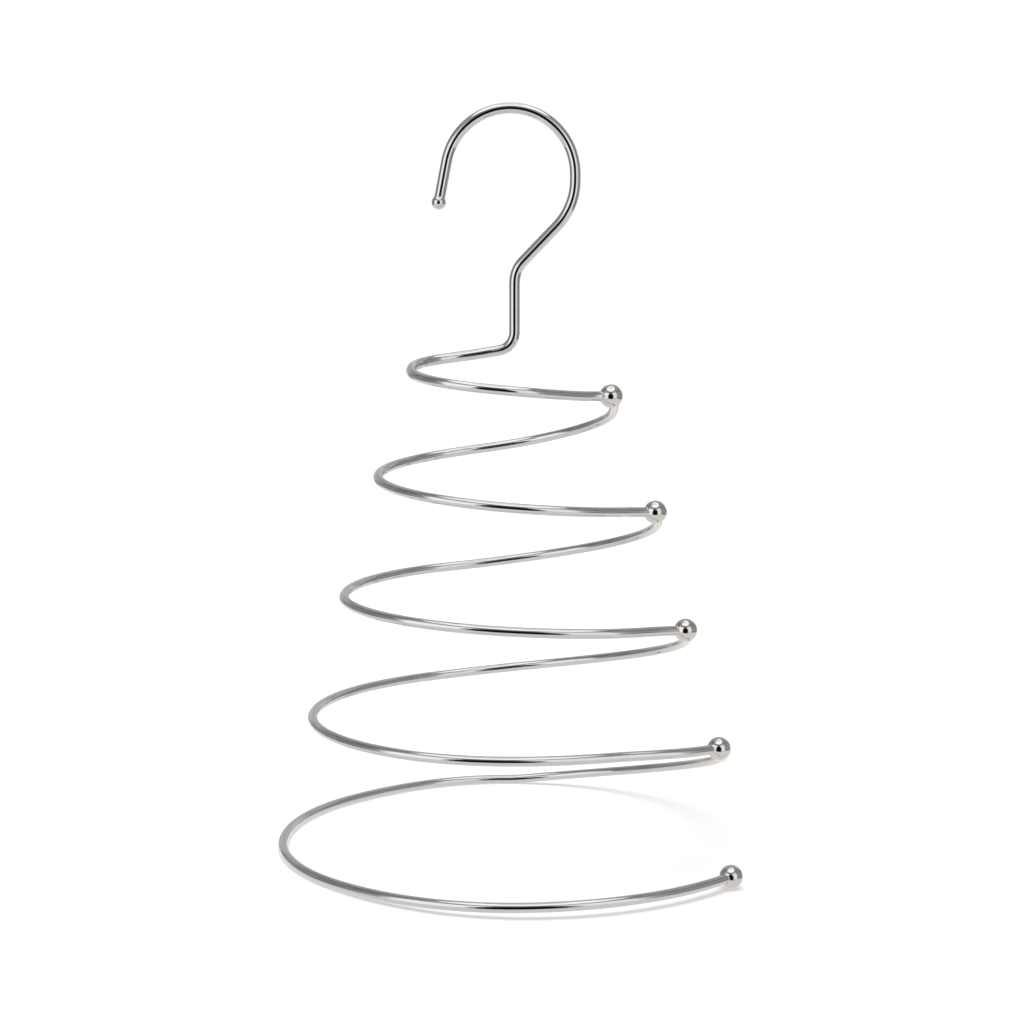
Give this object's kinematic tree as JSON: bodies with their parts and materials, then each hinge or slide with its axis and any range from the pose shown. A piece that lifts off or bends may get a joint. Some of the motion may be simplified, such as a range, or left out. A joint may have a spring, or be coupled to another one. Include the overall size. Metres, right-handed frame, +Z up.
{
  "type": "spiral hanger",
  "caption": "Spiral hanger of bent chrome-plated wire: a rail hook on a stem above widening turns, with a ball at the end of every turn.",
  "frame": {"origin": "on the floor under the middle of the outer box; the stem stands within 5 mm of it", "axes": "+Z up along the stem, +X to the right in the picture, away from the tip of the hook, +Y to the back; the hook lies in a plane parallel to XZ"},
  "size_m": [0.204, 0.2386, 0.3309],
  "materials": {
    "plated_wire": "bright chrome plate on drawn steel wire",
    "plated_ball": "bright chrome plate on polished steel balls"
  },
  "bodies": {
    "root": {"hook_and_tier_wire_1": "plated_wire", "tier_wire_2": "plated_wire", "tier_wire_3": "plated_wire", "tier_wire_4": "plated_wire", "tier_wire_5": "plated_wire", "hook_tip_ball": "plated_ball", "tier_ball_1": "plated_ball", "tier_ball_2": "plated_ball", "tier_ball_3": "plated_ball", "tier_ball_4": "plated_ball", "tier_ball_5": "plated_ball"}
  },
  "joints": []
}
